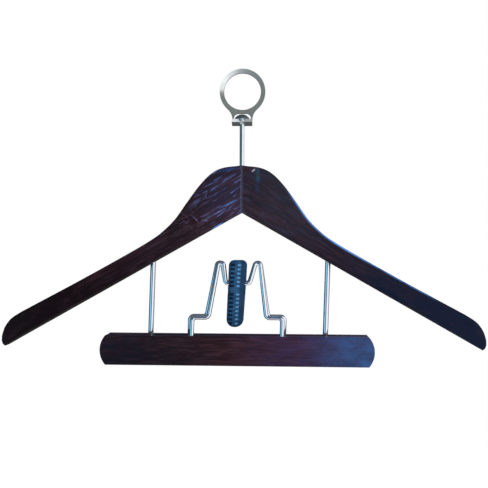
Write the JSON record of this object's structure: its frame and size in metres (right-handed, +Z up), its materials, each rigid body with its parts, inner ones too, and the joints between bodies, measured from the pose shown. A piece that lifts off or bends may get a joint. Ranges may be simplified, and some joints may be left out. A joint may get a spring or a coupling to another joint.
{
  "type": "wooden suit hanger",
  "caption": "Dark wooden suit hanger with a closed rail ring on a loose pin and a wire-framed trouser clamp locked by a cam lever.",
  "frame": {"origin": "centre of the rail ring's hole, on the mid-plane of its plate", "axes": "+X along the arms to the viewer's right, +Y to the back, +Z up"},
  "size_m": [0.4446, 0.0253, 0.2733],
  "materials": {
    "lacquered_wood": "dark brown-red stain under clear gloss lacquer, open grain",
    "chromed_wire": "bright chrome plate",
    "nickelled_steel": "satin nickel plate on stamped steel",
    "pin_steel": "bright drawn steel",
    "bush_steel": "turned steel",
    "dowel_beech": "raw beech",
    "jaw_felt": "short dark felt",
    "lever_plastic": "blue-black moulded plastic with a soft gloss"
  },
  "bodies": {
    "ring": {"rail_ring": "nickelled_steel"},
    "pin": {"hook_pin": "pin_steel"},
    "hanger": {"pin_bush": "bush_steel", "left_shoulder": "lacquered_wood", "right_shoulder": "lacquered_wood", "upper_dowel": "dowel_beech", "lower_dowel": "dowel_beech", "left_rod": "chromed_wire", "right_rod": "chromed_wire", "back_bar": "lacquered_wood", "back_felt": "jaw_felt", "back_frame": "chromed_wire"},
    "front_jaw": {"front_bar": "lacquered_wood", "front_felt": "jaw_felt", "front_frame": "chromed_wire"},
    "lever": {"lock_lever": "lever_plastic"}
  },
  "joints": [
    {"name": "pin_unhook", "type": "slide", "parent": "ring", "child": "pin", "axis": [0, -0.9715, 0.2368], "range_m": [0, 0.016]},
    {"name": "hanger_swivel", "type": "hinge", "parent": "pin", "child": "hanger", "pos_m": [0, -0.006, -0.07085], "axis": [0, 0, 1], "continuous": true},
    {"name": "jaw_open", "type": "hinge", "parent": "hanger", "child": "front_jaw", "pos_m": [0, -0.01015, -0.15903], "axis": [-1, 0, 0], "range_deg": [0, 15]},
    {"name": "lever_flip", "type": "hinge", "parent": "hanger", "child": "lever", "pos_m": [0, -0.00653, -0.17753], "axis": [-1, 0, 0], "range_deg": [0, 80]}
  ],
  "couplings": [
    {"joint": "jaw_open", "follows": "lever_flip", "ratio": 0.1875}
  ]
}
